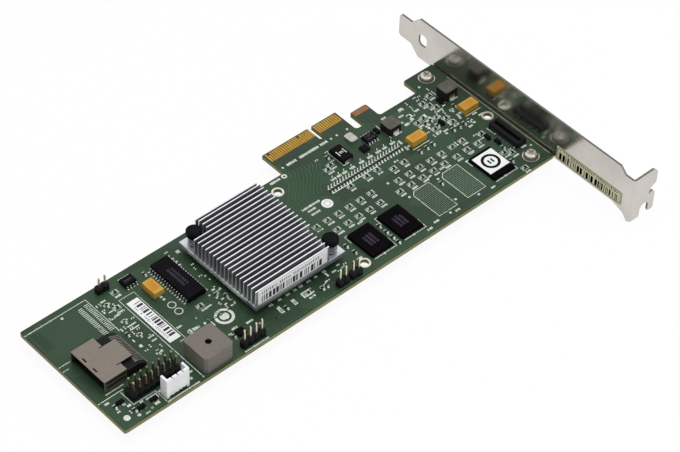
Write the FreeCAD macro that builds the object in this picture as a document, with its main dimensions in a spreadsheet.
# Storage controller card for a four-lane PCI Express slot, with its full-height slot bracket.
#
# Frame: X runs along the card towards the bracket, Y towards the edge connector, Z up out of the
# component side. The origin is on the centre line of the key notch, at the tip of the contacts, on
# the board's component face. Every length is in millimetres.
import FreeCAD, Part
import Sketcher
import os
import re

doc = FreeCAD.newDocument("raid_controller_card")
sizes = doc.addObject("Spreadsheet::Sheet", "sizes")
made = []

# ---------------------------------------------------------------- driving dimensions
DRIVING = {
    # circuit board
    "board_thickness": 1.57,
    "board_right": 57.8,
    "board_length": 197.4,
    "board_width": 56.25,
    "contact_tab_depth": 11.95,
    "key_half_width": 0.95,
    "key_depth": 7.65,
    "short_tab_right": 12.6,
    "long_tab_left": 22.6,
    "tip_chamfer": 0.4,
    "relief_slot_width": 3.7,
    "hook_tab_right": 24.1,
    "hook_tab_drop": 4.25,
    "shoulder_left": 43.1,
    "shoulder_drop": 4.3,
    "notch_radius": 1.2,
    "corner_radius": 0.8,
    "bevel": 0.35,
    "mounting_hole_radius": 1.6,
    "lead_hole_half": 0.36,
    "test_hole_radius": 0.45,
    "spare_ring_radius": 2.35,
    "screw_ring_radius": 3.25,
    "test_ring_radius": 1.1,
    # edge contacts
    "contact_pitch": 1.0,
    "contact_width": 0.7,
    "contact_length": 4.4,
    "contact_inset": 0.7,
    "first_contact_offset": 1.5,
    "copper_thickness": 0.05,
    # slot bracket
    "bracket_thickness": 0.86,
    "bracket_gap": 0.45,
    "bracket_width": 18.42,
    "bracket_bottom": -1.95,
    "bracket_height": 120.02,
    "bracket_tip": 14.44,
    "tongue_width": 10.19,
    "tongue_length": 6.5,
    "tongue_chamfer": 1.0,
    "flange_depth": 11.43,
    "flange_top": 13.8,
    "flange_bottom": -6.4,
    "bend_radius": 0.4,
    "screw_notch_width": 4.42,
    "screw_notch_offset": 6.35,
    "screw_notch_depth": 5.3,
    "board_tab_width": 8.4,
    "board_tab_reach": 11.5,
    "board_screw_x": 51.0,
    "board_screw_far_y": -8.5,
    "board_screw_near_y": -63.1,
    # screws
    "screw_radius": 1.45,
    "screw_head_radius": 2.75,
    "screw_head_height": 1.9,
    "screw_length": 4.4,
    # heatsink and its pins
    "sink_x": -54.95,
    "sink_y": -37.75,
    "sink_size": 40.5,
    "sink_bottom": 2.6,
    "sink_base": 2.0,
    "sink_top": 12.0,
    "last_fin_drop": 1.0,
    "fin_count": 21,
    "fin_thickness": 0.8,
    "fin_setback": 5.8,
    "far_relief_width": 7.0,
    "far_relief_depth": 7.9,
    "near_relief_width": 1.9,
    "near_relief_depth": 10.6,
    "pin_inset": 3.75,
    "pin_top": 11.2,
    "pin_head_radius": 3.0,
    "pin_head_height": 2.2,
    "pin_shank_radius": 1.4,
    "spring_radius": 2.2,
    "spring_wire": 0.35,
    "pin_barb": 0.35,
    "processor_size": 27.0,
    "processor_rim": 2.0,
    "substrate_thickness": 1.2,
    "thermal_pad_inset": 3.0,
    "thermal_pad_thickness": 0.2,
    # pin headers
    "header_pitch": 2.54,
    "header_base": 2.5,
    "header_pin": 0.64,
    "header_pin_top": 8.0,
    "header_pin_tail": 1.2,
    "header_corner_cut": 0.4,
    "jumper_pin_drop": 1.0,
    # white connector shell
    "shroud_left": -120.8,
    "shroud_length": 9.5,
    "shroud_near": -66.6,
    "shroud_depth": 3.3,
    "shroud_top": 8.7,
    "shroud_wall": 0.8,
    "shroud_floor": 1.6,
    "shroud_foot": 0.5,
    "shroud_slot": 0.6,
    "shroud_slot_depth": 1.1,
    "shroud_pitch": 2.0,
    "shroud_pin": 0.5,
    "shroud_pin_inset": 1.9,
    "shroud_pin_top": 6.4,
    # drive-cable socket
    "cage_left": -134.5,
    "cage_length": 9.4,
    "cage_near": -51.3,
    "cage_width": 17.9,
    "cage_top": 5.0,
    "cage_sheet": 0.3,
    "cage_strip_length": 5.2,
    "cage_strip_inset": 3.7,
    "cage_strip_width": 9.2,
    "cage_strip_fold": 1.1,
    "cage_clearance": 0.05,
    "housing_inset": 0.6,
    "housing_step_depth": 6.9,
    "housing_length": 17.3,
    "housing_floor": 0.7,
    "housing_top": 3.5,
    "housing_slope_length": 3.0,
    "housing_slope_end": 1.95,
    "cheek_width": 0.7,
    "cheek_top": 4.3,
    "socket_tongue_setback": 1.5,
    "socket_tongue_low": 1.9,
    "socket_tongue_high": 2.9,
    "socket_tongue_inset": 1.2,
    "socket_contact_pitch": 0.8,
    "socket_contact_width": 0.36,
    "socket_contact_sheet": 0.15,
    "socket_contact_run": 3.8,
    "socket_contact_toe": 1.4,
    # sounder
    "buzzer_x": -98.3,
    "buzzer_y": -60.7,
    "buzzer_size": 12.2,
    "buzzer_height": 7.0,
    "buzzer_corner": 0.95,
    "buzzer_hole_radius": 1.2,
    "buzzer_hole_depth": 1.5,
    "buzzer_lead_spacing": 6.5,
    "buzzer_lead_radius": 0.35,
    # slotted socket strip by the bracket
    "strip_x": 52.0,
    "strip_y": -50.0,
    "strip_length": 4.6,
    "strip_width": 14.6,
    "strip_height": 2.4,
    "strip_slot": 1.5,
    "strip_slot_margin": 0.8,
    "strip_floor": 0.6,
    # chips
    "memory_length": 10.0,
    "memory_width": 13.3,
    "memory_height": 1.2,
    "grid_substrate": 0.45,
    "grid_cap_inset": 0.1,
    "chip_standoff": 0.15,
    "lead_thickness": 0.2,
    # parts with folded terminals
    "terminal_thickness": 0.12,
    "inductor_corner": 0.5,
    # small two-ended parts
    "chip_length": 1.6,
    "chip_width": 0.8,
    "chip_height": 0.6,
    "comb_chip_length": 1.4,
    "comb_chip_width": 0.5,
    "comb_pitch": 1.118,
    "comb_left": -16.4,
    "comb_y": -29.4,
    # small transistors
    "small_case_height": 1.0,
    "small_lead_reach": 0.5,
    # labels
    "paper_thickness": 0.1,
    "sticker_radius": 2.15,
    "bracket_label_inset": 3.72,
    "bracket_label_length": 32.1,
    "bracket_label_width": 6.1,
}


def fill_sheet():
    """Write every driving dimension into the sheet, its name beside it."""
    for row, (alias, number) in enumerate(DRIVING.items(), start=1):
        sizes.set("A%d" % row, alias)
        sizes.set("B%d" % row, str(number))
        sizes.setAlias("B%d" % row, alias)
    doc.recompute()


def size(text):
    """Value of an expression written in the sheet's own names."""
    return float(sizes.evalExpression(str(text)))


def bound(text):
    """The same expression as seen from another object of the document."""
    def name(word):
        return "sizes." + word.group(0) if word.group(0) in DRIVING else word.group(0)

    return re.sub(r"[a-z][a-z_]+", name, str(text))


def register(item, label):
    """Give a sub-part its name and keep it for writing out."""
    item.Label = label
    made.append(item)
    return item


# ---------------------------------------------------------------- sketch and feature helpers
def new_body(label):
    body = doc.addObject("PartDesign::Body", label + "_body")
    return register(body, label)


def new_sketch(body, name, role, offset="0"):
    """Empty sketch on one of the body's own origin planes, moved along the plane's normal."""
    plane = [item for item in body.Origin.OriginFeatures if item.Role == role][0]
    sketch = body.newObject("Sketcher::SketchObject", name)
    sketch.AttachmentSupport = [(plane, "")]
    sketch.MapMode = "FlatFace"
    sketch.setExpression("AttachmentOffset.Base.z", bound(offset))
    return sketch


def tie_point(sketch, geometry, position, corner):
    """Hold one point of the sketch at two distances from the origin, both bound to the sheet."""
    for kind, text in zip(("DistanceX", "DistanceY"), corner):
        index = sketch.addConstraint(Sketcher.Constraint(kind, -1, 1, geometry, position, size(text)))
        sketch.setExpression("Constraints[%d]" % index, bound(text))


def add_outline(sketch, corners):
    """Closed outline of straight lines through the corners, each a pair of size expressions."""
    points = [FreeCAD.Vector(size(x), size(y), 0) for x, y in corners]
    first = sketch.GeometryCount
    count = len(points)
    for index in range(count):
        sketch.addGeometry(Part.LineSegment(points[index], points[(index + 1) % count]), False)
    for index in range(count):
        following = first + (index + 1) % count
        sketch.addConstraint(Sketcher.Constraint("Coincident", first + index, 2, following, 1))
    for index in range(count):
        tie_point(sketch, first + index, 1, corners[index])


def add_circle(sketch, centre, radius):
    middle = FreeCAD.Vector(size(centre[0]), size(centre[1]), 0)
    circle = sketch.addGeometry(Part.Circle(middle, FreeCAD.Vector(0, 0, 1), size(radius)), False)
    tie_point(sketch, circle, 3, centre)
    index = sketch.addConstraint(Sketcher.Constraint("Radius", circle, size(radius)))
    sketch.setExpression("Constraints[%d]" % index, bound(radius))


def rectangle(left, bottom, right, top):
    return [(left, bottom), (right, bottom), (right, top), (left, top)]


def pad(body, sketch, length, reverse=False):
    feature = body.newObject("PartDesign::Pad", sketch.Name + "_pad")
    feature.Profile = sketch
    feature.setExpression("Length", bound(length))
    feature.Reversed = reverse
    doc.recompute()
    return feature


def pocket(body, sketch, length=None, reverse=False):
    """Cut the sketch out of the body, to a length, or through everything both ways."""
    before = body.Shape.Volume
    feature = body.newObject("PartDesign::Pocket", sketch.Name + "_pocket")
    feature.Profile = sketch
    if length is None:
        feature.Type = "ThroughAll"
        feature.Midplane = True
    else:
        feature.setExpression("Length", bound(length))
        feature.Reversed = reverse
    doc.recompute()
    if not body.Shape.Volume < before - 1e-6:
        raise RuntimeError(sketch.Name + " cuts nothing")
    return feature


def straight_edges(shape, along, places):
    """Names of the straight edges along an axis that pass through the given places in the other two."""
    across = [axis for axis in range(3) if axis != along]
    names = []
    for index, edge in enumerate(shape.Edges, start=1):
        ends = [vertex.Point for vertex in edge.Vertexes]
        if len(ends) != 2 or edge.Curve.TypeId != "Part::GeomLine":
            continue
        if any(abs(ends[0][axis] - ends[1][axis]) > 1e-4 for axis in across):
            continue
        for place in places:
            if all(abs(ends[0][axis] - target) < 1e-3 for axis, target in zip(across, place)):
                names.append("Edge%d" % index)
                break
    return names


def round_edges(body, label, along, corners, radius, kind="Fillet"):
    """Fillet or chamfer the edges along an axis at the given corners."""
    places = [(size(first), size(second)) for first, second in corners]
    base = body.Tip
    names = straight_edges(base.Shape, along, places)
    if not names:
        raise RuntimeError(label + " finds no edge")
    feature = body.newObject("PartDesign::" + kind, label)
    feature.Base = (base, names)
    feature.setExpression("Radius" if kind == "Fillet" else "Size", bound(radius))
    doc.recompute()
    return feature


# ---------------------------------------------------------------- solid helpers
def box_between(name, low, high):
    """Part box from one corner to the opposite one, both written as size expressions."""
    item = doc.addObject("Part::Box", name)
    for side, axis, start, end in zip(("Length", "Width", "Height"), "xyz", low, high):
        item.setExpression(side, bound("(%s) - (%s)" % (end, start)))
        item.setExpression("Placement.Base." + axis, bound(start))
    return item


def cylinder_between(name, x, y, low, high, radius):
    item = doc.addObject("Part::Cylinder", name)
    item.setExpression("Radius", bound(radius))
    item.setExpression("Height", bound("(%s) - (%s)" % (high, low)))
    for axis, text in zip("xyz", (x, y, low)):
        item.setExpression("Placement.Base." + axis, bound(text))
    return item


def joined(name, items):
    item = doc.addObject("Part::MultiFuse", name)
    item.Shapes = items
    return item


def cut_from(name, base, tool):
    item = doc.addObject("Part::Cut", name)
    item.Base = base
    item.Tool = tool
    return item


def chamfered(name, base, along, places, length):
    """Chamfer the edges of a Part object that run along an axis at the given places."""
    doc.recompute()
    item = doc.addObject("Part::Chamfer", name)
    item.Base = base
    names = straight_edges(base.Shape, along, [(size(first), size(second)) for first, second in places])
    item.Edges = [(int(edge[4:]), size(length), size(length)) for edge in names]
    return item


def group_feature(label, solids):
    """One node that holds several separate solids."""
    item = doc.addObject("Part::Feature", label)
    item.Shape = Part.makeCompound(solids)
    item.Placement = FreeCAD.Placement()
    return register(item, label)


def block(x_low, x_high, y_low, y_high, z_low, z_high):
    """Plain solid block between six planes."""
    corner = FreeCAD.Vector(x_low, y_low, z_low)
    return Part.makeBox(x_high - x_low, y_high - y_low, z_high - z_low, corner)


def centred_block(x, y, length, width, z_low, z_high):
    return block(x - length / 2, x + length / 2, y - width / 2, y + width / 2, z_low, z_high)


def prism(points, direction):
    """Solid swept from a flat closed outline."""
    outline = Part.makePolygon(points + [points[0]])
    return Part.Face(outline).extrude(direction)


def closed_solid(outlines):
    """Solid bounded by flat faces, each given by its corners."""
    shell = Part.Shell([Part.Face(Part.makePolygon(list(corners) + [corners[0]])) for corners in outlines])
    shell.sewShape()
    solid = Part.Solid(shell)
    if solid.Volume < 0:
        solid.reverse()
    return solid


def turned(x, y, profile, sides=16):
    """Upright many-sided turning: profile gives radius and height from the bottom face to the top face."""
    axis = FreeCAD.Vector(0, 0, 1)
    rings = []
    for radius, height in profile:
        arm = FreeCAD.Vector(radius, 0, 0)
        corners = [FreeCAD.Rotation(axis, 360.0 * index / sides).multVec(arm) for index in range(sides)]
        rings.append([corner + FreeCAD.Vector(x, y, height) for corner in corners])
    outlines = [rings[0], rings[-1]]
    for lower, upper in zip(rings, rings[1:]):
        outlines += [(lower[a - 1], lower[a], upper[a], upper[a - 1]) for a in range(sides)]
    return closed_solid(outlines)


def many_sided(x, y, radius, low, high, sides=16):
    """Upright prism with many equal sides, standing round a circle of the given radius."""
    return turned(x, y, [(radius, low), (radius, high)], sides)


def tapered(x, y, low_half, high_half, low, high):
    """Upright block whose rectangular section changes evenly from its bottom to its top."""
    def ring(half, level):
        signs = ((-1, -1), (1, -1), (1, 1), (-1, 1))
        return [FreeCAD.Vector(x + a * half[0], y + b * half[1], level) for a, b in signs]

    bottom, top = ring(low_half, low), ring(high_half, high)
    sides = [(bottom[a - 1], bottom[a], top[a], top[a - 1]) for a in range(4)]
    return closed_solid([bottom, top] + sides)


fill_sheet()


# ---------------------------------------------------------------- circuit board
BOARD_LEFT = "board_right - board_length"
BOARD_NEAR = "-contact_tab_depth - board_width"
MAIN_EDGE = "-contact_tab_depth"
RELIEF_RIGHT = "short_tab_right + relief_slot_width"
SINK_PIN_PLACES = [
    ("sink_x - sink_size / 2 + pin_inset", "sink_y + sink_size / 2 - pin_inset"),
    ("sink_x + sink_size / 2 - pin_inset", "sink_y - sink_size / 2 + pin_inset"),
]
SPARE_HOLES = [("53.9", "-37.9"), ("-30.4", "-17.9"), ("-30.4", "-63.2")]
TEST_HOLE = ("-23.5", "-13.4")
BRACKET_SCREW_PLACES = [("board_screw_x", "board_screw_far_y"), ("board_screw_x", "board_screw_near_y")]


def header_places(x, y, columns, rows):
    """Centres of a header's pins, spread evenly about its middle."""
    pitch = size("header_pitch")
    return [
        (x + (column - (columns - 1) / 2) * pitch, y + (row - (rows - 1) / 2) * pitch)
        for column in range(columns)
        for row in range(rows)
    ]


HEADERS = {
    "wide_header": [(-119.75, -57.9, 8, 2)],
    "fan_header": [(-82.8, -65.35, 4, 1)],
    "light_headers": [(-42.65, -65.55, 2, 1), (-36.65, -65.55, 2, 1)],
    "jumper_header": [(-106.8, -14.75, 2, 1)],
}


def shroud_places():
    """Four pins spread evenly along the white shell."""
    middle = size("shroud_left + shroud_length / 2")
    pitch = size("shroud_pitch")
    return [(middle + (index - 1.5) * pitch, size("shroud_near + shroud_pin_inset")) for index in range(4)]


def buzzer_places():
    """The sounder's two leads, on its middle line."""
    half = size("buzzer_lead_spacing") / 2
    return [(size("buzzer_x"), size("buzzer_y") + side * half) for side in (-1, 1)]


def lead_hole_row(body, label, x, lines, columns, pitch):
    """One column of square lead holes, repeated along the board by a pattern."""
    half = "lead_hole_half"
    column = new_sketch(body, label + "_holes", "XY_Plane")
    for y in lines:
        add_outline(column, rectangle("%s - %s" % (x, half), "%s - %s" % (y, half),
                                      "%s + %s" % (x, half), "%s + %s" % (y, half)))
    cut = pocket(body, column)
    if columns > 1:
        row = body.newObject("PartDesign::LinearPattern", label + "_row")
        row.Originals = [cut]
        row.Direction = (column, ["H_Axis"])
        row.setExpression("Length", bound("%d * %s" % (columns - 1, pitch)))
        row.Occurrences = columns
        body.Tip = row
        doc.recompute()


def circuit_board():
    """Glass-fibre board: contact tabs with a key notch, a hook tab, a shoulder and its holes."""
    body = new_body("circuit_board")
    outline = new_sketch(body, "board_outline", "XY_Plane", "-board_thickness")
    add_outline(outline, [
        (BOARD_LEFT, BOARD_NEAR),
        ("board_right", BOARD_NEAR),
        ("board_right", "-shoulder_drop"),
        ("shoulder_left", "-shoulder_drop"),
        ("shoulder_left", MAIN_EDGE),
        ("hook_tab_right", MAIN_EDGE),
        ("hook_tab_right", "-hook_tab_drop"),
        (RELIEF_RIGHT, "-hook_tab_drop"),
        (RELIEF_RIGHT, MAIN_EDGE),
        ("short_tab_right", MAIN_EDGE),
        ("short_tab_right", "-tip_chamfer"),
        ("short_tab_right - tip_chamfer", "0"),
        ("key_half_width + tip_chamfer", "0"),
        ("key_half_width", "-tip_chamfer"),
        ("key_half_width", "key_half_width - key_depth"),
        ("-key_half_width", "key_half_width - key_depth"),
        ("-key_half_width", "-tip_chamfer"),
        ("-key_half_width - tip_chamfer", "0"),
        ("tip_chamfer - long_tab_left", "0"),
        ("-long_tab_left", "-tip_chamfer"),
        ("-long_tab_left", MAIN_EDGE),
        (BOARD_LEFT, MAIN_EDGE),
    ])
    pad(body, outline, "board_thickness")

    holes = new_sketch(body, "board_holes", "XY_Plane")
    add_circle(holes, ("0", "key_half_width - key_depth"), "key_half_width")
    for centre in SPARE_HOLES + BRACKET_SCREW_PLACES:
        add_circle(holes, centre, "mounting_hole_radius")
    for centre in SINK_PIN_PLACES:
        add_circle(holes, centre, "pin_shank_radius + 0.1")
    add_circle(holes, TEST_HOLE, "test_hole_radius")
    pocket(body, holes)

    # solder fills the lead holes, so each is cut just wide enough for its pin
    for label, groups in HEADERS.items():
        for number, (x, y, columns, rows) in enumerate(groups, start=1):
            first = "%s - %s * header_pitch" % (x, (columns - 1) / 2)
            lines = ["%s + %s * header_pitch" % (y, row - (rows - 1) / 2) for row in range(rows)]
            lead_hole_row(body, "%s_%d" % (label, number), first, lines, columns, "header_pitch")
    lead_hole_row(body, "shroud", "shroud_left + shroud_length / 2 - 1.5 * shroud_pitch",
                  ["shroud_near + shroud_pin_inset"], 4, "shroud_pitch")
    lead_hole_row(body, "buzzer_lead", "buzzer_x",
                  ["buzzer_y - buzzer_lead_spacing / 2", "buzzer_y + buzzer_lead_spacing / 2"], 1, "header_pitch")

    round_edges(body, "notch_fillets", 2, [
        ("shoulder_left", MAIN_EDGE),
        ("hook_tab_right", MAIN_EDGE),
        (RELIEF_RIGHT, MAIN_EDGE),
        ("short_tab_right", MAIN_EDGE),
        ("-long_tab_left", MAIN_EDGE),
    ], "notch_radius")
    round_edges(body, "corner_fillets", 2, [
        (BOARD_LEFT, BOARD_NEAR),
        (BOARD_LEFT, MAIN_EDGE),
        ("board_right", BOARD_NEAR),
        ("shoulder_left", "-shoulder_drop"),
        ("hook_tab_right", "-hook_tab_drop"),
        (RELIEF_RIGHT, "-hook_tab_drop"),
    ], "corner_radius")
    round_edges(body, "contact_bevel", 0, [("0", "0"), ("0", "-board_thickness")], "bevel", "Chamfer")


circuit_board()

def plated_rings():
    """Bare ring pads round the holes of the component side, each a thin many-sided ring."""
    thickness = size("copper_thickness")
    holes = [(centre, "mounting_hole_radius", "spare_ring_radius") for centre in SPARE_HOLES]
    holes += [(centre, "mounting_hole_radius", "screw_ring_radius") for centre in BRACKET_SCREW_PLACES]
    holes += [(TEST_HOLE, "test_hole_radius", "test_ring_radius")]
    solids = []
    for centre, hole, outer in holes:
        x, y = size(centre[0]), size(centre[1])
        disc = many_sided(x, y, size(outer), 0, thickness)
        solids.append(disc.cut(many_sided(x, y, size(hole), -1, thickness + 1)))
    group_feature("plated_rings", solids)


def edge_contacts(label, short_pins, z_low):
    """Gold contacts of one face: eleven on the bracket side of the key, twenty-one on the other."""
    solids = []
    half = size("contact_width") / 2
    top = -size("contact_inset")
    for number in range(1, 33):
        if number <= 11:
            x = size("first_contact_offset") + (11 - number) * size("contact_pitch")
        else:
            x = -size("first_contact_offset") - (number - 12) * size("contact_pitch")
        start = top - (1.2 if number in short_pins else 0)
        end = top - size("contact_length")
        solids.append(block(x - half, x + half, end, start, z_low, z_low + size("copper_thickness")))
    group_feature(label, solids)


def hook_pad():
    """Bare copper strip along the tip of the hook tab."""
    left = size(RELIEF_RIGHT) + 0.5
    right = size("hook_tab_right") - 0.4
    top = -size("hook_tab_drop") - 0.3
    group_feature("hook_tab_pad", [block(left, right, top - 2.4, top, 0, size("copper_thickness"))])


# ---------------------------------------------------------------- slot bracket
PLATE_INNER = "board_right + bracket_gap"
PLATE_OUTER = "board_right + bracket_gap + bracket_thickness"
FLANGE_OUTER = "bracket_tip - bracket_height"
FLANGE_INNER = "bracket_tip - bracket_height + bracket_thickness"
FLANGE_END = "board_right + bracket_gap + bracket_thickness + flange_depth"
PLATE_TOP = "bracket_bottom + bracket_width"
TONGUE_LOW = "bracket_bottom + (bracket_width - tongue_width) / 2"
TONGUE_HIGH = "bracket_bottom + (bracket_width + tongue_width) / 2"
TONGUE_ROOT = "bracket_tip - tongue_length"
SHOULDER = "bracket_tip - tongue_length - (bracket_width - tongue_width) / 2"
NOTCH_X = "board_right + bracket_gap + bracket_thickness + screw_notch_offset"
TAB_END = "board_right + bracket_gap - board_tab_reach"
TAB_UPPER = "-board_thickness"
TAB_LOWER = "-board_thickness - bracket_thickness"


def bracket():
    """One folded steel sheet: plate, tongue, screw flange and two tabs that lie under the board."""
    body = new_body("slot_bracket")

    # plate and flange are one L, drawn from above and raised to the sheet's full height
    fold = new_sketch(body, "fold_profile", "XY_Plane", "flange_bottom")
    add_outline(fold, [
        (PLATE_INNER, FLANGE_OUTER),
        (FLANGE_END, FLANGE_OUTER),
        (FLANGE_END, FLANGE_INNER),
        (PLATE_OUTER, FLANGE_INNER),
        (PLATE_OUTER, "bracket_tip"),
        (PLATE_INNER, "bracket_tip"),
    ])
    pad(body, fold, PLATE_TOP + " - flange_bottom")
    round_edges(body, "fold_inside", 2, [(PLATE_OUTER, FLANGE_INNER)], "bend_radius")
    round_edges(body, "fold_outside", 2, [(PLATE_INNER, FLANGE_OUTER)], "bend_radius + bracket_thickness")

    # the plate's outline, cut from the side: tongue, straight edges, and the drop towards the flange
    trim = new_sketch(body, "plate_trim", "YZ_Plane")
    above = PLATE_TOP + " + 2"
    below = "flange_bottom - 2"
    beyond = "bracket_tip + 2"
    add_outline(trim, [
        (beyond, above),
        (beyond, TONGUE_HIGH + " - tongue_chamfer"),
        ("bracket_tip", TONGUE_HIGH + " - tongue_chamfer"),
        ("bracket_tip - tongue_chamfer", TONGUE_HIGH),
        (TONGUE_ROOT, TONGUE_HIGH),
        (SHOULDER, PLATE_TOP),
        (FLANGE_OUTER + " + 7.2", PLATE_TOP),
        (FLANGE_OUTER + " + 4.6", "flange_top"),
        (FLANGE_OUTER + " - 2", "flange_top"),
        (FLANGE_OUTER + " - 2", above),
    ])
    add_outline(trim, [
        (beyond, below),
        (beyond, TONGUE_LOW + " + tongue_chamfer"),
        ("bracket_tip", TONGUE_LOW + " + tongue_chamfer"),
        ("bracket_tip - tongue_chamfer", TONGUE_LOW),
        (TONGUE_ROOT, TONGUE_LOW),
        (SHOULDER, "bracket_bottom"),
        (FLANGE_OUTER + " + 9", "bracket_bottom"),
        (FLANGE_OUTER + " + 3.4", "bracket_bottom - 2"),
        (FLANGE_OUTER + " + 1.6", "flange_bottom"),
        (FLANGE_OUTER + " + 1.6", below),
    ])
    pocket(body, trim)
    round_edges(body, "plate_curves", 0, [
        (FLANGE_OUTER + " + 9", "bracket_bottom"),
        (FLANGE_OUTER + " + 3.4", "bracket_bottom - 2"),
    ], "3.5")

    # the flange's outline, cut from its face: screw notch, corner and the keying notch in its end
    flange = new_sketch(body, "flange_trim", "XZ_Plane")
    half = "screw_notch_width / 2"
    outside = FLANGE_END + " + 2"
    add_outline(flange, [
        (NOTCH_X + " - " + half, "flange_bottom - 2"),
        (NOTCH_X + " + " + half, "flange_bottom - 2"),
        (NOTCH_X + " + " + half, "flange_bottom + screw_notch_depth - " + half),
        (NOTCH_X + " - " + half, "flange_bottom + screw_notch_depth - " + half),
    ])
    add_outline(flange, [
        (outside, "flange_top - 7.4"),
        (FLANGE_END, "flange_top - 7.4"),
        (FLANGE_END + " - 2.6", "flange_top - 8.6"),
        (FLANGE_END + " - 3.4", "flange_top - 11.4"),
        (FLANGE_END + " - 1.2", "flange_top - 10.8"),
        (FLANGE_END, "flange_top - 12.4"),
        (outside, "flange_top - 12.4"),
    ])
    add_outline(flange, [
        (outside, "flange_top - 2.1"),
        (FLANGE_END, "flange_top - 2.1"),
        (FLANGE_END + " - 2.1", "flange_top"),
        (FLANGE_END + " - 2.1", "flange_top + 2"),
        (outside, "flange_top + 2"),
    ])
    pocket(body, flange)
    notch_end = new_sketch(body, "screw_notch_end", "XZ_Plane")
    add_circle(notch_end, (NOTCH_X, "flange_bottom + screw_notch_depth - " + half), half)
    pocket(body, notch_end)
    round_edges(body, "flange_corners", 1, [
        (NOTCH_X + " - " + half, "flange_bottom"),
        (NOTCH_X + " + " + half, "flange_bottom"),
        (FLANGE_END, "flange_bottom"),
        (FLANGE_END, "flange_top - 7.4"),
        (FLANGE_END + " - 2.1", "flange_top"),
    ], "0.8")

    # two tabs folded inwards under the board, each drawn from its end
    for index, centre in enumerate(("board_screw_far_y", "board_screw_near_y"), start=1):
        tab = new_sketch(body, "board_tab_%d" % index, "XZ_Plane", "-(%s) - board_tab_width / 2" % centre)
        add_outline(tab, [
            (TAB_END, TAB_LOWER),
            (PLATE_OUTER, TAB_LOWER),
            (PLATE_OUTER, "bracket_bottom + 1"),
            (PLATE_INNER, "bracket_bottom + 1"),
            (PLATE_INNER, TAB_UPPER),
            (TAB_END, TAB_UPPER),
        ])
        pad(body, tab, "board_tab_width")
    holes = new_sketch(body, "tab_screw_holes", "XY_Plane", TAB_UPPER)
    for centre in BRACKET_SCREW_PLACES:
        add_circle(holes, centre, "screw_radius + 0.05")
    pocket(body, holes, "bracket_thickness")
    window = new_sketch(body, "plate_window", "YZ_Plane", PLATE_INNER)
    add_outline(window, rectangle("-0.4", "4.6", "3.8", "9.9"))
    pocket(body, window)
    round_edges(body, "window_corners", 0, [("-0.4", "4.6"), ("3.8", "4.6"), ("3.8", "9.9"), ("-0.4", "9.9")], "1.6")


def bracket_screws():
    """Pan-head screws with a cross recess, through the board into the bracket's tabs."""
    solids = []
    radius = size("screw_radius")
    head_radius = size("screw_head_radius")
    height = size("screw_head_height")
    seat = size("copper_thickness")
    for x_text, y_text in BRACKET_SCREW_PLACES:
        x, y = size(x_text), size(y_text)
        low = seat - size("screw_length")
        screw = turned(x, y, [
            (radius, low),
            (radius, seat),
            (head_radius, seat),
            (head_radius, seat + 0.4 * height),
            (0.6 * head_radius, seat + height),
        ])
        for length, width in ((2.9, 0.6), (0.6, 2.9)):
            screw = screw.cut(centred_block(x, y, length, width, seat + height - 1.0, seat + height + 1))
        solids.append(screw)
    group_feature("bracket_screws", solids)


# ---------------------------------------------------------------- heatsink, processor and pins
SINK_LEFT = "sink_x - sink_size / 2"
SINK_RIGHT = "sink_x + sink_size / 2"
SINK_NEAR = "sink_y - sink_size / 2"
SINK_FAR = "sink_y + sink_size / 2"
FIN_FLOOR = "sink_bottom + sink_base"
FIN_RIGHT = "sink_x + sink_size / 2 - fin_setback"


def heatsink():
    """Extruded base with a row of plate fins, cut back round the two spring pins."""
    body = new_body("heatsink")
    base = new_sketch(body, "sink_base_outline", "XY_Plane", "sink_bottom")
    add_outline(base, rectangle(SINK_LEFT, SINK_NEAR, SINK_RIGHT, SINK_FAR))
    pad(body, base, "sink_base")

    fin = new_sketch(body, "fin_outline", "XY_Plane", FIN_FLOOR)
    add_outline(fin, rectangle(SINK_LEFT, SINK_NEAR, FIN_RIGHT, SINK_NEAR + " + fin_thickness"))
    fin_pad = pad(body, fin, "sink_top - (%s)" % FIN_FLOOR)
    row = body.newObject("PartDesign::LinearPattern", "fin_row")
    row.Originals = [fin_pad]
    row.Direction = (fin, ["V_Axis"])
    row.setExpression("Length", bound("sink_size - fin_thickness"))
    row.setExpression("Occurrences", bound("fin_count"))
    body.Tip = row
    doc.recompute()

    relief = new_sketch(body, "pin_relief", "XY_Plane", FIN_FLOOR)
    add_outline(relief, rectangle(SINK_LEFT + " - 1", SINK_FAR + " - far_relief_depth",
                                  SINK_LEFT + " + far_relief_width", SINK_FAR + " + 1"))
    add_outline(relief, rectangle(FIN_RIGHT + " - near_relief_width", SINK_NEAR + " - 1",
                                  FIN_RIGHT + " + 1", SINK_NEAR + " + near_relief_depth"))
    pocket(body, relief, "sink_top - (%s)" % FIN_FLOOR, reverse=True)
    trim = new_sketch(body, "last_fin_trim", "XY_Plane", "sink_top - last_fin_drop")
    add_outline(trim, rectangle(SINK_LEFT, SINK_FAR + " - fin_thickness - 0.2", FIN_RIGHT + " + 1", SINK_FAR + " + 1"))
    pocket(body, trim, "last_fin_drop + 1", reverse=True)
    holes = new_sketch(body, "sink_pin_holes", "XY_Plane", "sink_bottom")
    for centre in SINK_PIN_PLACES:
        add_circle(holes, centre, "pin_shank_radius + 0.1")
    pocket(body, holes)


def push_pins():
    """Barbed plastic pins: round head, slim shank through sink and board, split barb below."""
    solids = []
    head = size("pin_head_radius")
    shank = size("pin_shank_radius")
    top = size("pin_top")
    under_head = top - size("pin_head_height")
    under = -size("board_thickness")
    for x_text, y_text in SINK_PIN_PLACES:
        x, y = size(x_text), size(y_text)
        pin = turned(x, y, [
            (0.7, under - 2.3),
            (shank + size("pin_barb"), under - 0.05),
            (shank, under),
            (shank, under_head),
            (head, under_head),
            (head, top - 0.6),
            (head - 0.6, top),
        ])
        solids.append(pin.cut(centred_block(x, y, 0.6, 3 * head, under - 3, under - 0.3)))
    group_feature("push_pins", solids)


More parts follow.
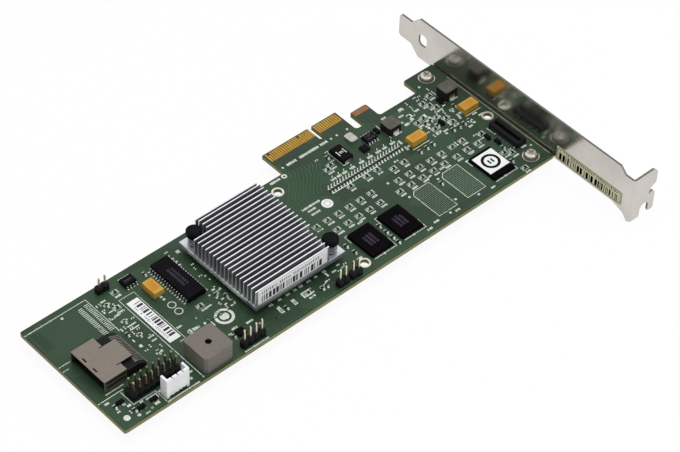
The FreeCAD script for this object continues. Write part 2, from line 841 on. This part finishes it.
def coil_spring(x, y, low, high, radius, wire, turns):
    """Coil of square-sided wire, built ring by ring up its helix so that it stays light."""
    steps = 7 * turns
    rings = []
    for step in range(steps + 1):
        turn = FreeCAD.Rotation(FreeCAD.Vector(0, 0, 1), 360.0 * turns * step / steps)
        height = low + (high - low) * step / steps
        section = [(radius - wire, 0), (radius, -wire), (radius + wire, 0), (radius, wire)]
        rings.append([turn.multVec(FreeCAD.Vector(a, 0, 0)) + FreeCAD.Vector(x, y, height + b) for a, b in section])
    outlines = [rings[0], rings[-1]]
    for lower, upper in zip(rings, rings[1:]):
        for a in range(4):
            outlines.append((lower[a - 1], lower[a], upper[a]))
            outlines.append((lower[a - 1], upper[a], upper[a - 1]))
    return closed_solid(outlines)


def push_pin_springs():
    """Coil springs between the sink's base and the pins' heads."""
    wire = size("spring_wire")
    low = size(FIN_FLOOR) + wire
    high = size("pin_top - pin_head_height") - wire
    solids = [
        coil_spring(size(x_text), size(y_text), low, high, size("spring_radius"), wire, 4)
        for x_text, y_text in SINK_PIN_PLACES
    ]
    group_feature("push_pin_springs", solids)


def processor():
    """The controller chip under the heatsink, and the pad that couples the two."""
    half = "processor_size / 2"
    places = ("sink_x - " + half, "sink_y - " + half, "sink_x + " + half, "sink_y + " + half)
    cap_top = "sink_bottom - thermal_pad_thickness"
    rim, inset = "processor_rim", "thermal_pad_inset"
    substrate = box_between("processor_substrate", (places[0], places[1], "0"),
                            (places[2], places[3], "substrate_thickness"))
    cap = box_between("processor_cap", (places[0] + " + " + rim, places[1] + " + " + rim, "substrate_thickness"),
                      (places[2] + " - " + rim, places[3] + " - " + rim, cap_top))
    register(joined("processor_package", [substrate, cap]), "raid_processor")
    register(box_between("pad_sheet", (places[0] + " + " + inset, places[1] + " + " + inset, cap_top),
                         (places[2] + " - " + inset, places[3] + " - " + inset, "sink_bottom")), "thermal_pad")


plated_rings()
edge_contacts("edge_contacts_front", (17, 31), 0)
edge_contacts("edge_contacts_back", (1,), -size("board_thickness") - size("copper_thickness"))
hook_pad()
bracket()
bracket_screws()
heatsink()
push_pins()
push_pin_springs()
processor()

# ---------------------------------------------------------------- chips
def gull_lead(x, y, side, width, body_edge, reach, height):
    """One bent lead: leaves the body half way up, drops and ends in a flat foot. Side is +1 or -1 in X."""
    thick = size("lead_thickness")
    start = x + side * body_edge
    knee = start + side * 0.25 * reach
    heel = start + side * 0.45 * reach
    toe = start + side * reach
    points = [
        (start, height), (start, height + thick), (knee + side * thick, height + thick),
        (heel + side * thick, thick), (toe, thick), (toe, 0), (heel, 0), (knee, height),
    ]
    outline = [FreeCAD.Vector(place, y - width / 2, level) for place, level in points]
    return prism(outline, FreeCAD.Vector(0, width, 0))


def lead_row(x, y, count, pitch, width, body_edge, reach, height, sides=(-1, 1)):
    """Leads spread evenly along Y on both sides of a body."""
    return [
        gull_lead(x, y + (index - (count - 1) / 2) * pitch, side, width, body_edge, reach, height)
        for side in sides
        for index in range(count)
    ]


def turned_quarter(solids, x, y):
    """The same solids turned a quarter about an upright line."""
    for solid in solids:
        solid.rotate(FreeCAD.Vector(x, y, 0), FreeCAD.Vector(0, 0, 1), 90)
    return solids


def moulded_body(label, x, y, length, width, low, high, slope=0.15):
    """Moulded chip body whose faces draw in towards the top and the bottom."""
    middle = (low + high) / 2
    full = (length / 2, width / 2)
    drawn = (length / 2 - slope, width / 2 - slope)
    lower = tapered(x, y, drawn, full, low, middle)
    upper = tapered(x, y, full, drawn, middle, high)
    item = doc.addObject("Part::Feature", label)
    item.Shape = lower.fuse(upper).removeSplitter()
    return register(item, label)


# label: centre x, centre y, extra length
MEMORY_PLACES = {
    "memory_chip_1": (-21.9, -56.95, 0),
    "memory_chip_2": (-7.85, -57.05, 0),
    "memory_chip_3": (37.0, -57.15, 0.4),
}


def memory_chips():
    """Ball-grid packages: a thin substrate with a moulded cap, seated on the board."""
    for label, (x, y, extra) in MEMORY_PLACES.items():
        half_x = "(memory_length + %s) / 2" % extra
        left, right = "%s - %s" % (x, half_x), "%s + %s" % (x, half_x)
        near, far = "%s - memory_width / 2" % y, "%s + memory_width / 2" % y
        base = box_between(label + "_base", (left, near, "0"), (right, far, "grid_substrate"))
        inset = " grid_cap_inset"
        cap = box_between(label + "_cap", (left + " +" + inset, near + " +" + inset, "grid_substrate"),
                          (right + " -" + inset, far + " -" + inset, "memory_height"))
        register(joined(label + "_package", [base, cap]), label)


# label: centre x, centre y, body across the leads, body along the leads, height, leads a side,
#        lead width, reach, turned a quarter
LEADED = {
    "backup_memory": (-84.65, -28.25, 7.5, 20.7, 2.5, 16, 0.45, 1.5, False),
    "clock_chip": (-97.9, -17.7, 3.9, 5.0, 1.6, 4, 0.42, 1.1, True),
    "regulator": (12.65, -18.85, 3.9, 5.0, 1.2, 4, 0.42, 0.8, True),
}


def leaded_chips():
    """Wide battery-backed memory, an eight-lead chip and the switching regulator."""
    low = size("chip_standoff")
    pitch = 1.27
    for label, (x, y, across, along, high, count, lead_width, reach, turned) in LEADED.items():
        spans = (along, across) if turned else (across, along)
        moulded_body(label, x, y, spans[0], spans[1], low, high)
        exit_height = (low + high) / 2 - size("lead_thickness") / 2
        leads = lead_row(x, y, count, pitch, lead_width, across / 2, reach, exit_height)
        group_feature(label + "_leads", turned_quarter(leads, x, y) if turned else leads)


# ---------------------------------------------------------------- connectors
def header_base(label, blocks):
    """Moulded base of a pin header: a notched strip, one lobe to each pin column."""
    pitch = size("header_pitch")
    high = size("header_base")
    pin = size("header_pin")
    cut = size("header_corner_cut")
    solids = []
    for x, y, columns, rows in blocks:
        width = rows * pitch
        base = None
        for column in range(columns):
            middle = x + (column - (columns - 1) / 2) * pitch
            low_y, high_y = y - width / 2, y + width / 2
            points = [
                (middle - pitch / 2, low_y + cut), (middle - pitch / 2 + cut, low_y),
                (middle + pitch / 2 - cut, low_y), (middle + pitch / 2, low_y + cut),
                (middle + pitch / 2, high_y - cut), (middle + pitch / 2 - cut, high_y),
                (middle - pitch / 2 + cut, high_y), (middle - pitch / 2, high_y - cut),
            ]
            lobe = prism([FreeCAD.Vector(a, b, 0) for a, b in points], FreeCAD.Vector(0, 0, high))
            base = lobe if base is None else base.fuse(lobe)
        for pin_x, pin_y in header_places(x, y, columns, rows):
            base = base.cut(centred_block(pin_x, pin_y, pin, pin, -1, high + 1))
        solids.append(base.removeSplitter())
    return group_feature(label, solids)


def square_pin(x, y, width, low, high):
    """Square pin with a tapered top."""
    taper = 0.35
    half, tip = width / 2, width / 4
    shaft = centred_block(x, y, width, width, low, high - taper)
    point = tapered(x, y, (half, half), (tip, tip), high - taper, high)
    return shaft.fuse(point).removeSplitter()


def header_pins(label, blocks, top):
    low = -size("board_thickness + header_pin_tail")
    pins = [
        square_pin(x, y, size("header_pin"), low, top)
        for header in blocks
        for x, y in header_places(*header)
    ]
    group_feature(label, pins)


def headers():
    for name, blocks in HEADERS.items():
        top = size("header_pin_top - jumper_pin_drop") if name == "jumper_header" else size("header_pin_top")
        header_base(name + "_base", blocks)
        header_pins(name + "_pins", blocks, top)


def white_shroud():
    """White connector shell: floor, tall near wall and two end walls, open to the back."""
    left, near = size("shroud_left"), size("shroud_near")
    right, far = left + size("shroud_length"), near + size("shroud_depth")
    top, wall, foot = size("shroud_top"), size("shroud_wall"), size("shroud_foot")
    pin, slot = size("shroud_pin"), size("shroud_slot")
    middle = (left + right) / 2
    shell = block(left, right, near, far, foot, top)
    shell = shell.cut(block(left + wall, right - wall, near + wall, far + 1, size("shroud_floor"), top + 1))
    for foot_x in (left, right - 1.5 * wall):
        shell = shell.fuse(block(foot_x, foot_x + 1.5 * wall, near, far, 0, foot))
    for index in range(3):
        start = middle + (index - 1) * 2.2 - slot / 2
        shell = shell.cut(block(start, start + slot, near - 1, near + wall, top - size("shroud_slot_depth"), top + 1))
        notch = middle + 0.4 + index * 1.3
        shell = shell.cut(block(notch, notch + slot, near - 1, near + wall, 0, 2 * foot))
    for pin_x, pin_y in shroud_places():
        shell = shell.cut(centred_block(pin_x, pin_y, pin, pin, -1, top))
    group_feature("white_shroud", [shell.removeSplitter()])
    low = -size("board_thickness") - 1.0
    pins = [square_pin(a, b, pin, low, size("shroud_pin_top")) for a, b in shroud_places()]
    group_feature("white_shroud_pins", pins)


CAGE_RIGHT = "cage_left + cage_length"
CAGE_FAR = "cage_near + cage_width"
STRIP_RIGHT = "cage_left + cage_length + cage_strip_length"
STRIP_NEAR = "cage_near + cage_strip_inset"
STRIP_FAR = "cage_near + cage_strip_inset + cage_strip_width"
HOUSING_FRONT = "cage_left + housing_inset"
HOUSING_STEP = "cage_left + housing_inset + housing_step_depth"
HOUSING_RIGHT = "cage_left + housing_inset + housing_length"


def sas_cage():
    """Folded metal cage of the drive-cable socket: open front, slotted roof, ribbed sides, rear strip."""
    left, right = size("cage_left"), size(CAGE_RIGHT)
    near, far = size("cage_near"), size(CAGE_FAR)
    top, sheet = size("cage_top"), size("cage_sheet")
    strip_right, strip_near, strip_far = size(STRIP_RIGHT), size(STRIP_NEAR), size(STRIP_FAR)
    cage = block(left, right, near, far, 0, top)
    cage = cage.cut(block(left - 1, right + 1, near + sheet, far - sheet, -1, top - sheet))
    roof_strip = block(right - 1.2, strip_right, strip_near, strip_far, top - sheet, top)
    fold = block(strip_right - sheet, strip_right, strip_near, strip_far, top - size("cage_strip_fold"), top)
    cage = cage.fuse([roof_strip, fold])
    for slot_y in (strip_near - 0.35, strip_far):
        cage = cage.cut(block(right - 1.5, right + 1, slot_y, slot_y + 0.35, top - 1, top + 1))
    for slot_y in (-40.4, -46.0):
        cage = cage.cut(block(left + 0.9, left + 1.5, slot_y, slot_y + 2.2, top - 1, top + 1))
    for side_y in (near - 1, far - sheet - 0.5):
        for low in (1.1, 3.0):
            cage = cage.cut(block(left + 0.8, right - 0.6, side_y, side_y + sheet + 1.5, low, low + 1.2))
    group_feature("sas_cage", [cage.removeSplitter()])


def sas_housing():
    """Black moulding: floor, tongue between the contact rows, and the block behind the cage."""
    gap = size("cage_sheet + cage_clearance")
    near, far = size("cage_near") + gap, size(CAGE_FAR) - gap
    front, step, right = size(HOUSING_FRONT), size(HOUSING_STEP), size(HOUSING_RIGHT)
    floor_top, top = size("housing_floor"), size("housing_top")
    inset, cheek = size("socket_tongue_inset"), size("cheek_width")
    floor = block(front, right, near, far, 0, floor_top)
    rear = block(step, right, near, far, 0, top)
    tongue = block(front + size("socket_tongue_setback"), step, near + inset, far - inset,
                   size("socket_tongue_low"), size("socket_tongue_high"))
    cheeks = [block(front, step, y, y + cheek, 0, size("cheek_top")) for y in (near, far - cheek)]
    housing = floor.fuse([rear, tongue] + cheeks)
    start, end = right - size("housing_slope_length"), size("housing_slope_end")
    slope = prism([
        FreeCAD.Vector(start, near - 1, top), FreeCAD.Vector(right, near - 1, end),
        FreeCAD.Vector(right + 1, near - 1, end), FreeCAD.Vector(right + 1, near - 1, top + 1),
        FreeCAD.Vector(start, near - 1, top + 1),
    ], FreeCAD.Vector(0, far - near + 2, 0))
    group_feature("sas_housing", [housing.cut(slope).removeSplitter()])


def socket_rows():
    """Middles of the socket's eighteen contacts, spread about its middle line."""
    middle = size("cage_near + cage_width / 2 - 0.25")
    return [middle + (index - 8.5) * size("socket_contact_pitch") for index in range(18)]


def sas_contacts():
    """Contact leads: along the tongue, over the rear block and down its slope to the board."""
    solids = []
    width, sheet = size("socket_contact_width"), size("socket_contact_sheet")
    front, step, right = size(HOUSING_FRONT), size(HOUSING_STEP), size(HOUSING_RIGHT)
    start = right - size("housing_slope_length")
    first, toe = right - size("socket_contact_run"), right + size("socket_contact_toe")
    top, end = size("housing_top"), size("housing_slope_end")
    tongue_top = size("socket_tongue_high")
    outline = [
        (first, top), (first, top + sheet), (start + 0.05, top + sheet), (right + sheet, end + sheet / 2),
        (right + sheet, sheet), (toe, sheet), (toe, 0), (right, 0), (right, end), (start, top),
    ]
    for y in socket_rows():
        points = [FreeCAD.Vector(a, y - width / 2, b) for a, b in outline]
        solids.append(prism(points, FreeCAD.Vector(0, width, 0)))
        solids.append(block(front + size("socket_tongue_setback") + 0.2, step, y - width / 2, y + width / 2,
                            tongue_top, tongue_top + 0.1))
    group_feature("sas_contacts", solids)


def buzzer():
    """Square sounder with cut corners, a sound hole and two leads."""
    body = new_body("buzzer")
    outline = new_sketch(body, "buzzer_outline", "XY_Plane")
    low_x, high_x = "buzzer_x - buzzer_size / 2", "buzzer_x + buzzer_size / 2"
    low_y, high_y = "buzzer_y - buzzer_size / 2", "buzzer_y + buzzer_size / 2"
    cut = "buzzer_corner"
    add_outline(outline, [
        (low_x + " + " + cut, low_y), (high_x + " - " + cut, low_y),
        (high_x, low_y + " + " + cut), (high_x, high_y + " - " + cut),
        (high_x + " - " + cut, high_y), (low_x + " + " + cut, high_y),
        (low_x, high_y + " - " + cut), (low_x, low_y + " + " + cut),
    ])
    pad(body, outline, "buzzer_height")
    hole = new_sketch(body, "sound_hole", "XY_Plane", "buzzer_height")
    add_circle(hole, ("buzzer_x", "buzzer_y"), "buzzer_hole_radius")
    pocket(body, hole, "buzzer_hole_depth")
    low = -size("board_thickness") - 1.0
    radius = size("buzzer_lead_radius")
    leads = [many_sided(a, b, radius, low, 0, 8) for a, b in buzzer_places()]
    group_feature("buzzer_leads", leads)


def slotted_connector():
    """Low black socket strip by the bracket with a slot along it and a row of contacts."""
    x, y, length, width = size("strip_x"), size("strip_y"), size("strip_length"), size("strip_width")
    height, margin = size("strip_height"), size("strip_slot_margin")
    shell = centred_block(x, y, length, width, 0, height)
    shell = shell.cut(centred_block(x, y, size("strip_slot"), width - 2 * margin, size("strip_floor"), height + 1))
    group_feature("slotted_connector", [shell])
    tails = [
        centred_block(x + side * (length / 2 + 0.4), y + (index - 6) * 1.0, 0.8, 0.4, 0, size("lead_thickness"))
        for side in (-1, 1)
        for index in range(13)
    ]
    group_feature("slotted_connector_contacts", tails)


# ---------------------------------------------------------------- power parts and small parts
def wrapped_terminals(x, y, length, width, height, wrap, along_x=True):
    """Two folded end terminals of a moulded part, each running under it and up its end."""
    thick = size("terminal_thickness")
    solids = []
    for side in (-1, 1):
        end = side * length / 2
        upright = sorted((end, end + side * thick))
        foot = sorted((end - side * wrap, end + side * thick))
        if along_x:
            stand = block(x + upright[0], x + upright[1], y - width / 2, y + width / 2, 0, height)
            base = block(x + foot[0], x + foot[1], y - width / 2, y + width / 2, 0, thick)
        else:
            stand = block(x - width / 2, x + width / 2, y + upright[0], y + upright[1], 0, height)
            base = block(x - width / 2, x + width / 2, y + foot[0], y + foot[1], 0, thick)
        solids.append(stand.fuse(base).removeSplitter())
    return solids


# label: centre x, centre y, length, width, height
INDUCTORS = {"inductor_1": (50.2, -20.1, 6.2, 5.6, 4.4), "inductor_2": (21.9, -20.2, 6.0, 5.7, 3.6)}
# label: centre x, centre y, length, width, height, lies along X
TANTALUMS = {
    "tantalum_capacitor_1": (50.9, -30.6, 7.1, 4.2, 2.9, True),
    "tantalum_capacitor_2": (24.6, -30.8, 7.3, 4.0, 2.9, True),
    "tantalum_capacitor_3": (-94.0, -26.4, 7.2, 4.3, 2.9, False),
}
# centre x, centre y, length, width, height
POWER_DIODE = (-1.2, -18.9, 5.0, 7.6, 2.1)
TRANSISTOR_CAN = (7.35, -14.8, 3.4, 4.6, 1.3)
SQUARE_CHIPS = [(7.7, -21.7, 3.0, 3.0, 0.8), (-83.7, -60.0, 3.2, 3.0, 0.9)]


def power_parts():
    """Inductors, tantalum capacitors, the power diode, the metal-topped part and the small square chips."""
    lift = size("terminal_thickness")
    terminals = []
    for label, (x, y, length, width, height) in INDUCTORS.items():
        base = box_between(label + "_block", (str(x - length / 2), str(y - width / 2), "terminal_thickness"),
                           (str(x + length / 2), str(y + width / 2), str(height)))
        corners = [(str(x + a * length / 2), str(y + b * width / 2)) for a in (-1, 1) for b in (-1, 1)]
        register(chamfered(label + "_core", base, 2, corners, "inductor_corner"), label)
        terminals += wrapped_terminals(x, y, width, 0.45 * length, 0.5 * height, 1.2, along_x=False)
    group_feature("inductor_terminals", terminals)
    terminals = []
    for label, (x, y, length, width, height, along_x) in TANTALUMS.items():
        spans = (length, width) if along_x else (width, length)
        moulded_body(label, x, y, spans[0], spans[1], lift, height, 0.12)
        terminals += wrapped_terminals(x, y, length, 0.55 * width, 0.45 * height, 1.3, along_x)
    group_feature("tantalum_terminals", terminals)
    x, y, length, width, height = POWER_DIODE
    moulded_body("power_diode", x, y, length, width, lift, height)
    group_feature("power_diode_terminals", wrapped_terminals(x, y, width, 3.0, 1.1, 1.4, along_x=False))
    x, y, length, width, height = TRANSISTOR_CAN
    can = centred_block(x, y, length, width, 0, height)
    upright = [edge for edge in can.Edges if abs(edge.Vertexes[0].Z - edge.Vertexes[1].Z) > height / 2]
    group_feature("power_transistor", [can.makeFillet(0.9, upright)])
    chips = [centred_block(x, y, length, width, 0, height) for x, y, length, width, height in SQUARE_CHIPS]
    group_feature("square_chips", chips)


# Places of the small two-ended parts: centre x, centre y. The first two lists lie along X.
FRAMED_CAPACITORS = (
    [(-31.6 + 5.18 * index, -39.6) for index in range(6)]
    + [(-26.8 + 5.1 * index, -45.2) for index in range(5)]
    + [(6.0 + 5.27 * index, -41.2) for index in range(5)]
    + [(2.7 + 5.45 * index, -45.7) for index in range(5)]
    + [(32.6, -41.2), (37.5, -41.2), (30.4, -45.9), (35.7, -45.7), (40.9, -45.9), (-86.2, -41.9)]
)
FRAMED_RESISTORS = [
    (-8.9, -32.3), (-1.2, -32.3), (3.9, -32.3), (8.8, -35.7), (14.0, -35.7), (40.0, -17.8), (41.4, -20.0),
    (38.9, -26.3), (41.4, -28.8), (34.3, -30.5), (41.9, -31.9), (34.9, -23.5), (42.6, -22.3), (31.7, -24.1),
    (45.0, -16.1), (45.4, -43.1), (44.8, -55.6), (47.0, -57.4), (45.0, -66.0), (-9.4, -20.8), (-7.2, -19.6),
    (-104.2, -18.2), (-108.0, -24.3), (-54.6, -61.3),
]
UPRIGHT_CAPACITORS = [
    (22.0, -35.8), (25.2, -35.8), (28.3, -35.8), (41.9, -35.4), (44.5, -35.4), (47.1, -35.4), (39.1, -35.2),
    (-109.9, -21.4), (-109.9, -27.2), (-109.9, -31.0), (-109.9, -39.0), (-109.9, -48.9), (-91.2, -18.3),
    (-86.5, -60.0), (-76.5, -44.0), (-76.5, -47.6), (-78.7, -41.4), (48.3, -26.2),
]
UPRIGHT_RESISTORS = [
    (-5.5, -16.4), (31.4, -19.9), (36.3, -26.2), (33.8, -26.4), (36.2, -30.0), (-14.7, -53.6), (-14.7, -57.4),
    (-14.7, -60.6), (-14.7, -63.6), (43.9, -60.6), (46.4, -53.6), (-49.4, -62.8), (-47.5, -62.8), (-30.0, -53.4),
    (-29.6, -57.4), (-135.8, -58.3), (-131.6, -63.4), (16.6, -52.4), (-112.9, -36.2), (-64.6, -61.6),
]
COMB_COUNT = 32
# centre x, centre y, turned so that its leads point along X
SMALL_TRANSISTORS = [
    (17.1, -17.9, True), (45.7, -21.2, True), (45.6, -46.3, True), (38.2, -30.0, True), (46.8, -50.4, True),
    (-133.4, -57.9, False), (-129.4, -64.0, False), (-124.2, -63.8, False),
]


def small_parts():
    """Ceramic capacitors and chip resistors with their ends, and the three-lead transistors."""
    length, width = size("chip_length"), size("chip_width")
    comb_length, comb_width = size("comb_chip_length"), size("comb_chip_width")
    comb_left, comb_pitch, comb_y = size("comb_left"), size("comb_pitch"), size("comb_y")
    high = size("chip_height")
    capacitors, resistors = [], []
    groups = [
        (capacitors, FRAMED_CAPACITORS, length, width, False),
        (resistors, FRAMED_RESISTORS, length, width, False),
        (capacitors, UPRIGHT_CAPACITORS, length, width, True),
        (resistors, UPRIGHT_RESISTORS, length, width, True),
        (capacitors, [(comb_left + index * comb_pitch, comb_y) for index in range(COMB_COUNT)],
         comb_length, comb_width, True),
    ]
    for bodies, places, part_length, part_width, upright in groups:
        spans = (part_width, part_length) if upright else (part_length, part_width)
        bodies += [centred_block(x, y, spans[0], spans[1], 0, high) for x, y in places]
    group_feature("ceramic_capacitors", capacitors)
    group_feature("chip_resistors", resistors)
    cases, leads = [], []
    low, reach = size("chip_standoff"), size("small_lead_reach")
    for x, y, turned in SMALL_TRANSISTORS:
        case = centred_block(x, y, 2.7, 1.4, low, size("small_case_height"))
        feet = [
            centred_block(x + place, y + side * (0.7 + reach / 2), 0.4, reach, 0, 2 * low)
            for place, side in ((-0.95, -1), (0.95, -1), (0, 1))
        ]
        group = [case] + feet
        if turned:
            group = turned_quarter(group, x, y)
        cases.append(group[0])
        leads += group[1:]
    group_feature("small_transistors", cases)
    group_feature("small_transistor_leads", leads)


# ---------------------------------------------------------------- labels
def labels():
    """Paper labels: on the board, on the heatsink's near fin, on the bracket and on the third memory."""
    paper = size("paper_thickness")
    fin_face = size(SINK_NEAR)
    plate = size(PLATE_INNER)
    group_feature("board_label", [block(-104.5, -99.8, -48.2, -25.0, 0, paper)])
    group_feature("heatsink_label", [block(-74.3, -43.2, fin_face - paper, fin_face, 5.2, 11.7)])
    start = size(FLANGE_INNER + " + bracket_label_inset")
    low = size("bracket_bottom + 0.75")
    end, high = start + size("bracket_label_length"), low + size("bracket_label_width")
    group_feature("bracket_label", [block(plate - paper, plate, start, end, low, high)])
    top = size("memory_height")
    x, y, _ = MEMORY_PLACES["memory_chip_3"]
    group_feature("memory_label", [centred_block(x + 0.1, y + 0.6, 9.6, 9.7, top, top + paper)])
    group_feature("inspection_sticker", [many_sided(-20.9, -33.5, size("sticker_radius"), 0, paper, 32)])


memory_chips()
leaded_chips()
headers()
white_shroud()
sas_cage()
sas_housing()
sas_contacts()
buzzer()
slotted_connector()
power_parts()
small_parts()
labels()


# ---------------------------------------------------------------- write the parts
def finish():
    """Check every object, then write each sub-part to its own file."""
    doc.recompute()
    failed = [item.Name for item in doc.Objects if "Invalid" in item.State or "Error" in item.State]
    if failed:
        raise RuntimeError("failed objects: " + ", ".join(failed))
    for item in made:
        if item.Shape.isNull() or not item.Shape.isValid():
            raise RuntimeError(item.Label + " has no valid shape")
    os.makedirs("parts", exist_ok=True)
    for item in made:
        item.Shape.exportStep("parts/%s.step" % item.Label)
        print("%-28s solids %2d  volume %9.2f" % (item.Label, len(item.Shape.Solids), item.Shape.Volume))


finish()
